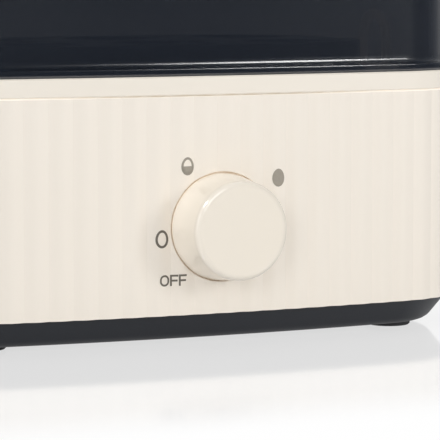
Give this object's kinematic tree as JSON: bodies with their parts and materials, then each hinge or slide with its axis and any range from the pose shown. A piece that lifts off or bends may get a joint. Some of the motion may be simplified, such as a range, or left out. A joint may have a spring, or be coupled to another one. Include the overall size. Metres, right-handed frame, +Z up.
{
  "type": "electric egg cooker",
  "caption": "Electric egg cooker: fluted cream housing with a control knob, heated pan and lift-out egg rack under a smoked rounded lid.",
  "frame": {"origin": "middle of the footprint, knob and gland included, on the table plane under the feet", "axes": "+X to the right along the long side, -Y out of the knob's face, +Z up"},
  "size_m": [0.218, 0.1732, 0.1843],
  "materials": {
    "housing": "satin",
    "band": "smooth satin",
    "base": "fine texture",
    "foot": "matt",
    "fastener": "zinc plated",
    "gland": "matt",
    "pan": "brushed",
    "silicone": "matt",
    "alloy": "rolled",
    "tube": "heat tinted",
    "phenolic": "matt",
    "ceramic": "glazed",
    "brass": "turned",
    "board": "solder resist",
    "device": "matt",
    "relay_case": "smooth",
    "film": "smooth",
    "block": "smooth",
    "knob": "glossy",
    "rack": "satin",
    "lid": "smoked, clear",
    "lead": "smooth",
    "handle": "satin"
  },
  "bodies": {
    "base": {"fluted_housing": "housing", "top_ring": "band", "base_tray": "base", "rubber_feet": "foot", "base_screws": "fastener", "cord_gland": "gland", "heating_pan": "pan", "pan_seal": "silicone", "pan_nuts": "fastener", "heater_disc": "alloy", "heating_element": "tube", "heat_shield": "alloy", "shield_nut": "fastener", "thermostat": "phenolic", "thermal_fuse": "ceramic", "boil_sensor": "brass", "control_board": "board", "board_screws": "fastener", "rotary_control": "device", "control_nut": "fastener", "relay": "relay_case", "buzzer": "device", "film_capacitor": "film", "board_terminals": "board", "terminal_block": "block", "block_screw": "fastener", "leads": "lead", "tab_sleeves": "block"},
    "dial": {"spindle": "fastener", "knob": "knob", "knob_clip": "fastener"},
    "rack": {"egg_rack": "rack"},
    "lid": {"lid_shell": "lid", "lid_handle": "handle", "handle_seals": "silicone", "handle_screws": "fastener"}
  },
  "joints": [
    {"name": "knob_turn", "type": "hinge", "parent": "base", "child": "dial", "pos_m": [0, -0.0696, 0.0416], "axis": [0, 1, 0], "range_deg": [0, 186]},
    {"name": "lid_lift", "type": "slide", "parent": "base", "child": "lid", "axis": [0, 0, 1], "range_m": [0, 0.2]},
    {"name": "rack_lift", "type": "slide", "parent": "base", "child": "rack", "axis": [0, 0, 1], "range_m": [0, 0.09]}
  ],
  "couplings": [
    {"joint": "rack_lift", "follows": "lid_lift", "ratio": 0.45}
  ]
}
